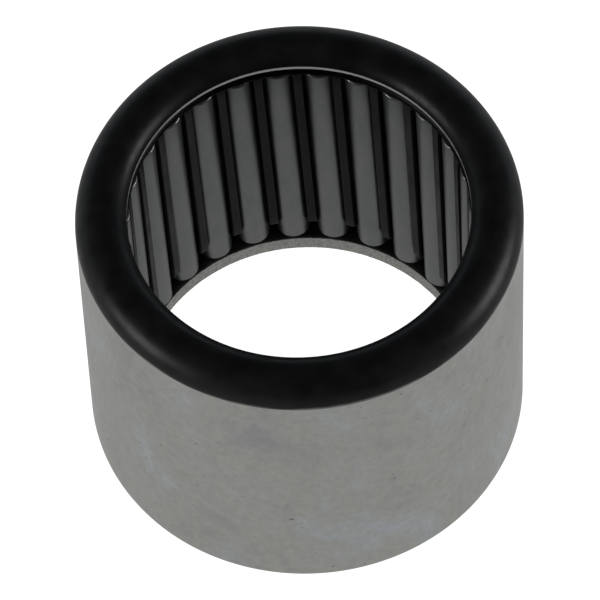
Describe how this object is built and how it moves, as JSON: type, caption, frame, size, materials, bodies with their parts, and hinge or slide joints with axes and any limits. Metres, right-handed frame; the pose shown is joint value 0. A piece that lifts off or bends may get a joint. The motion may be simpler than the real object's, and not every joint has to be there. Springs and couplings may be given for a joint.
{
  "type": "needle roller bearing",
  "caption": "Caged drawn-cup needle roller bearing: a thin-walled steel cup with a flat lip and a curled lip, round a sheet-steel cage of long thin rollers about an open bore.",
  "frame": {"origin": "on the bearing axis, at the lower face, which is the flat drawn end", "axes": "+Z along the bearing axis from the flat drawn end to the curled lip, +Y close to the first needle"},
  "size_m": [0.037, 0.037, 0.03],
  "materials": {
    "cup_steel": "satin ground wall, lip blackened by annealing",
    "cage_steel": "dark hardened sheet steel",
    "needle_steel": "satin ground"
  },
  "bodies": {
    "cup": {"outer_cup": "cup_steel"},
    "cage": {"cage": "cage_steel"},
    "needle_01": {"needle_01": "needle_steel"},
    "needle_02": {"needle_02": "needle_steel"},
    "needle_03": {"needle_03": "needle_steel"},
    "needle_04": {"needle_04": "needle_steel"},
    "needle_05": {"needle_05": "needle_steel"},
    "needle_06": {"needle_06": "needle_steel"},
    "needle_07": {"needle_07": "needle_steel"},
    "needle_08": {"needle_08": "needle_steel"},
    "needle_09": {"needle_09": "needle_steel"},
    "needle_10": {"needle_10": "needle_steel"},
    "needle_11": {"needle_11": "needle_steel"},
    "needle_12": {"needle_12": "needle_steel"},
    "needle_13": {"needle_13": "needle_steel"},
    "needle_14": {"needle_14": "needle_steel"},
    "needle_15": {"needle_15": "needle_steel"},
    "needle_16": {"needle_16": "needle_steel"},
    "needle_17": {"needle_17": "needle_steel"},
    "needle_18": {"needle_18": "needle_steel"},
    "needle_19": {"needle_19": "needle_steel"},
    "needle_20": {"needle_20": "needle_steel"},
    "needle_21": {"needle_21": "needle_steel"},
    "needle_22": {"needle_22": "needle_steel"},
    "needle_23": {"needle_23": "needle_steel"},
    "needle_24": {"needle_24": "needle_steel"},
    "needle_25": {"needle_25": "needle_steel"},
    "needle_26": {"needle_26": "needle_steel"},
    "needle_27": {"needle_27": "needle_steel"}
  },
  "joints": [
    {"name": "cage_spin", "type": "hinge", "parent": "cup", "child": "cage", "pos_m": [0, 0, 0.0149], "axis": [0, 0, 1], "continuous": true},
    {"name": "needle_01_roll", "type": "hinge", "parent": "cage", "child": "needle_01", "pos_m": [-0.00095, 0.01547, 0.0149], "axis": [-0.0348, -0.0021, 0.9994], "continuous": true},
    {"name": "needle_02_roll", "type": "hinge", "parent": "cage", "child": "needle_02", "pos_m": [0.00265, 0.01527, 0.0149], "axis": [-0.0344, 0.006, 0.9994], "continuous": true},
    {"name": "needle_03_roll", "type": "hinge", "parent": "cage", "child": "needle_03", "pos_m": [0.0061, 0.01425, 0.0149], "axis": [-0.0321, 0.0137, 0.9994], "continuous": true},
    {"name": "needle_04_roll", "type": "hinge", "parent": "cage", "child": "needle_04", "pos_m": [0.00922, 0.01246, 0.0149], "axis": [-0.0281, 0.0208, 0.9994], "continuous": true},
    {"name": "needle_05_roll", "type": "hinge", "parent": "cage", "child": "needle_05", "pos_m": [0.01184, 0.01, 0.0149], "axis": [-0.0225, 0.0267, 0.9994], "continuous": true},
    {"name": "needle_06_roll", "type": "hinge", "parent": "cage", "child": "needle_06", "pos_m": [0.01383, 0.007, 0.0149], "axis": [-0.0158, 0.0311, 0.9994], "continuous": true},
    {"name": "needle_07_roll", "type": "hinge", "parent": "cage", "child": "needle_07", "pos_m": [0.01507, 0.00362, 0.0149], "axis": [-0.0081, 0.0339, 0.9994], "continuous": true},
    {"name": "needle_08_roll", "type": "hinge", "parent": "cage", "child": "needle_08", "pos_m": [0.0155, 0.00005, 0.0149], "axis": [-0.0001, 0.0349, 0.9994], "continuous": true},
    {"name": "needle_09_roll", "type": "hinge", "parent": "cage", "child": "needle_09", "pos_m": [0.01509, -0.00353, 0.0149], "axis": [0.0079, 0.034, 0.9994], "continuous": true},
    {"name": "needle_10_roll", "type": "hinge", "parent": "cage", "child": "needle_10", "pos_m": [0.01387, -0.00692, 0.0149], "axis": [0.0156, 0.0312, 0.9994], "continuous": true},
    {"name": "needle_11_roll", "type": "hinge", "parent": "cage", "child": "needle_11", "pos_m": [0.0119, -0.00993, 0.0149], "axis": [0.0224, 0.0268, 0.9994], "continuous": true},
    {"name": "needle_12_roll", "type": "hinge", "parent": "cage", "child": "needle_12", "pos_m": [0.00929, -0.01241, 0.0149], "axis": [0.0279, 0.0209, 0.9994], "continuous": true},
    {"name": "needle_13_roll", "type": "hinge", "parent": "cage", "child": "needle_13", "pos_m": [0.00618, -0.01421, 0.0149], "axis": [0.032, 0.0139, 0.9994], "continuous": true},
    {"name": "needle_14_roll", "type": "hinge", "parent": "cage", "child": "needle_14", "pos_m": [0.00274, -0.01526, 0.0149], "axis": [0.0344, 0.0062, 0.9994], "continuous": true},
    {"name": "needle_15_roll", "type": "hinge", "parent": "cage", "child": "needle_15", "pos_m": [-0.00086, -0.01548, 0.0149], "axis": [0.0348, -0.0019, 0.9994], "continuous": true},
    {"name": "needle_16_roll", "type": "hinge", "parent": "cage", "child": "needle_16", "pos_m": [-0.0044, -0.01486, 0.0149], "axis": [0.0335, -0.0099, 0.9994], "continuous": true},
    {"name": "needle_17_roll", "type": "hinge", "parent": "cage", "child": "needle_17", "pos_m": [-0.00771, -0.01345, 0.0149], "axis": [0.0303, -0.0174, 0.9994], "continuous": true},
    {"name": "needle_18_roll", "type": "hinge", "parent": "cage", "child": "needle_18", "pos_m": [-0.0106, -0.01131, 0.0149], "axis": [0.0255, -0.0239, 0.9994], "continuous": true},
    {"name": "needle_19_roll", "type": "hinge", "parent": "cage", "child": "needle_19", "pos_m": [-0.01293, -0.00856, 0.0149], "axis": [0.0193, -0.0291, 0.9994], "continuous": true},
    {"name": "needle_20_roll", "type": "hinge", "parent": "cage", "child": "needle_20", "pos_m": [-0.01455, -0.00534, 0.0149], "axis": [0.012, -0.0328, 0.9994], "continuous": true},
    {"name": "needle_21_roll", "type": "hinge", "parent": "cage", "child": "needle_21", "pos_m": [-0.01539, -0.00184, 0.0149], "axis": [0.0042, -0.0347, 0.9994], "continuous": true},
    {"name": "needle_22_roll", "type": "hinge", "parent": "cage", "child": "needle_22", "pos_m": [-0.0154, 0.00175, 0.0149], "axis": [-0.004, -0.0347, 0.9994], "continuous": true},
    {"name": "needle_23_roll", "type": "hinge", "parent": "cage", "child": "needle_23", "pos_m": [-0.01458, 0.00526, 0.0149], "axis": [-0.0118, -0.0328, 0.9994], "continuous": true},
    {"name": "needle_24_roll", "type": "hinge", "parent": "cage", "child": "needle_24", "pos_m": [-0.01297, 0.00848, 0.0149], "axis": [-0.0191, -0.0292, 0.9994], "continuous": true},
    {"name": "needle_25_roll", "type": "hinge", "parent": "cage", "child": "needle_25", "pos_m": [-0.01067, 0.01124, 0.0149], "axis": [-0.0253, -0.024, 0.9994], "continuous": true},
    {"name": "needle_26_roll", "type": "hinge", "parent": "cage", "child": "needle_26", "pos_m": [-0.00779, 0.0134, 0.0149], "axis": [-0.0302, -0.0175, 0.9994], "continuous": true},
    {"name": "needle_27_roll", "type": "hinge", "parent": "cage", "child": "needle_27", "pos_m": [-0.00449, 0.01484, 0.0149], "axis": [-0.0334, -0.0101, 0.9994], "continuous": true}
  ],
  "couplings": [
    {"joint": "needle_01_roll", "follows": "cage_spin", "ratio": -11.333},
    {"joint": "needle_02_roll", "follows": "cage_spin", "ratio": -11.333},
    {"joint": "needle_03_roll", "follows": "cage_spin", "ratio": -11.333},
    {"joint": "needle_04_roll", "follows": "cage_spin", "ratio": -11.333},
    {"joint": "needle_05_roll", "follows": "cage_spin", "ratio": -11.333},
    {"joint": "needle_06_roll", "follows": "cage_spin", "ratio": -11.333},
    {"joint": "needle_07_roll", "follows": "cage_spin", "ratio": -11.333},
    {"joint": "needle_08_roll", "follows": "cage_spin", "ratio": -11.333},
    {"joint": "needle_09_roll", "follows": "cage_spin", "ratio": -11.333},
    {"joint": "needle_10_roll", "follows": "cage_spin", "ratio": -11.333},
    {"joint": "needle_11_roll", "follows": "cage_spin", "ratio": -11.333},
    {"joint": "needle_12_roll", "follows": "cage_spin", "ratio": -11.333},
    {"joint": "needle_13_roll", "follows": "cage_spin", "ratio": -11.333},
    {"joint": "needle_14_roll", "follows": "cage_spin", "ratio": -11.333},
    {"joint": "needle_15_roll", "follows": "cage_spin", "ratio": -11.333},
    {"joint": "needle_16_roll", "follows": "cage_spin", "ratio": -11.333},
    {"joint": "needle_17_roll", "follows": "cage_spin", "ratio": -11.333},
    {"joint": "needle_18_roll", "follows": "cage_spin", "ratio": -11.333},
    {"joint": "needle_19_roll", "follows": "cage_spin", "ratio": -11.333},
    {"joint": "needle_20_roll", "follows": "cage_spin", "ratio": -11.333},
    {"joint": "needle_21_roll", "follows": "cage_spin", "ratio": -11.333},
    {"joint": "needle_22_roll", "follows": "cage_spin", "ratio": -11.333},
    {"joint": "needle_23_roll", "follows": "cage_spin", "ratio": -11.333},
    {"joint": "needle_24_roll", "follows": "cage_spin", "ratio": -11.333},
    {"joint": "needle_25_roll", "follows": "cage_spin", "ratio": -11.333},
    {"joint": "needle_26_roll", "follows": "cage_spin", "ratio": -11.333},
    {"joint": "needle_27_roll", "follows": "cage_spin", "ratio": -11.333}
  ]
}
